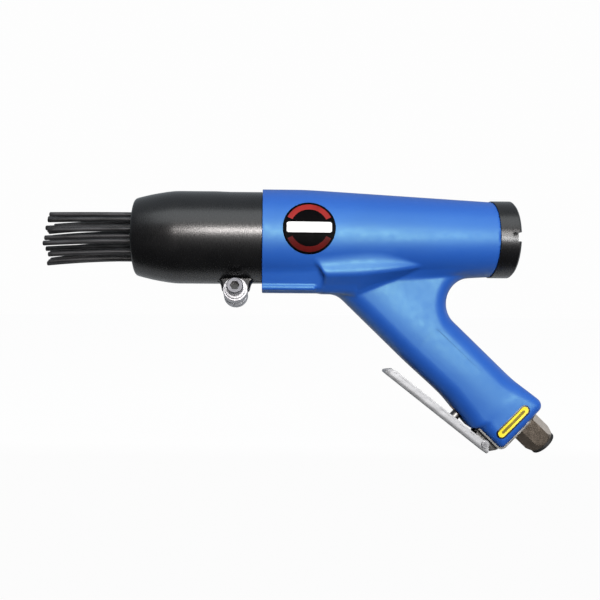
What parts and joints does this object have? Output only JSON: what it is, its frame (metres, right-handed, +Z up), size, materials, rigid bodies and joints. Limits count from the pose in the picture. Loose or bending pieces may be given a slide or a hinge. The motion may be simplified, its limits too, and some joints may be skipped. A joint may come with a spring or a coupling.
{
  "type": "needle scaler",
  "caption": "Pneumatic pistol-grip needle scaler: blue cast housing, black clamped front tube with a needle bundle, throttle lever and threaded air inlet.",
  "frame": {"origin": "on the barrel axis, at the middle of the round seat on the front tube", "axes": "+X to the rear along the barrel axis, so the needles point to -X; +Z up; +Y away from the pictured side"},
  "size_m": [0.3176, 0.0607, 0.1628],
  "materials": {
    "blue_casting": "satin",
    "black_steel": "satin",
    "needle_steel": "matte",
    "bright_steel": "satin",
    "tool_steel": "satin",
    "bronze": "satin",
    "rubber": "matte",
    "nickel_steel": "polished",
    "plate_black": "gloss",
    "label_yellow": "gloss"
  },
  "bodies": {
    "tool": {"housing": "blue_casting", "end_cap": "black_steel", "end_cap_seal": "rubber", "cylinder": "tool_steel", "anvil_bush": "bronze", "anvil_buffer": "rubber", "valve_seat": "tool_steel", "valve_cap": "tool_steel", "valve_packing": "bronze", "lever_bracket": "bright_steel", "lever_pin": "bright_steel", "throttle_bush": "bronze", "stem_seal": "rubber", "throttle_spring": "bright_steel", "inlet_bushing": "nickel_steel", "inlet_gasket": "rubber", "inlet_seal": "rubber", "inlet_screen": "bronze", "round_plate": "plate_black", "oiling_label": "label_yellow"},
    "nose": {"front_tube": "black_steel", "needle_guide": "tool_steel", "needle_spring": "tool_steel", "clamp_lugs": "bright_steel", "clamp_screw": "bright_steel", "clamp_washer": "bright_steel", "clamp_nut": "bright_steel"},
    "needle_pack": {"needle_holder": "tool_steel", "needle_01": "needle_steel", "needle_02": "needle_steel", "needle_03": "needle_steel", "needle_04": "needle_steel", "needle_05": "needle_steel", "needle_06": "needle_steel", "needle_07": "needle_steel", "needle_08": "needle_steel", "needle_09": "needle_steel", "needle_10": "needle_steel", "needle_11": "needle_steel", "needle_12": "needle_steel", "needle_13": "needle_steel", "needle_14": "needle_steel", "needle_15": "needle_steel", "needle_16": "needle_steel", "needle_17": "needle_steel", "needle_18": "needle_steel", "needle_19": "needle_steel"},
    "anvil": {"anvil": "tool_steel"},
    "piston": {"piston": "tool_steel"},
    "flutter_valve": {"valve_disc": "tool_steel"},
    "lever": {"throttle_lever": "bright_steel"},
    "throttle_valve": {"throttle_stem": "bright_steel"}
  },
  "joints": [
    {"name": "nose_slide", "type": "slide", "parent": "tool", "child": "nose", "axis": [-1, 0, 0], "range_m": [0, 0.012]},
    {"name": "needle_slide", "type": "slide", "parent": "tool", "child": "needle_pack", "axis": [-1, 0, 0], "range_m": [0, 0.008], "stiffness_N_per_m": 1500, "springref_m": -0.02, "deforming": ["needle_spring"]},
    {"name": "anvil_slide", "type": "slide", "parent": "tool", "child": "anvil", "axis": [-1, 0, 0], "range_m": [0, 0.008]},
    {"name": "piston_slide", "type": "slide", "parent": "tool", "child": "piston", "axis": [-1, 0, 0], "range_m": [0, 0.0185]},
    {"name": "valve_lift", "type": "slide", "parent": "tool", "child": "flutter_valve", "axis": [1, 0, 0], "range_m": [0, 0.001]},
    {"name": "lever_hinge", "type": "hinge", "parent": "tool", "child": "lever", "pos_m": [0.17903, 0, -0.12618], "axis": [0, 1, 0], "range_deg": [0, 5], "stiffness_Nm_per_rad": 0.8, "springref_deg": -7.16},
    {"name": "throttle_slide", "type": "slide", "parent": "tool", "child": "throttle_valve", "axis": [0.6947, 0, 0.7193], "range_m": [0, 0.00206], "deforming": ["throttle_spring"]}
  ],
  "couplings": [
    {"joint": "anvil_slide", "follows": "needle_slide", "ratio": 1},
    {"joint": "throttle_slide", "follows": "lever_hinge", "m_per_rad": 0.02354}
  ]
}
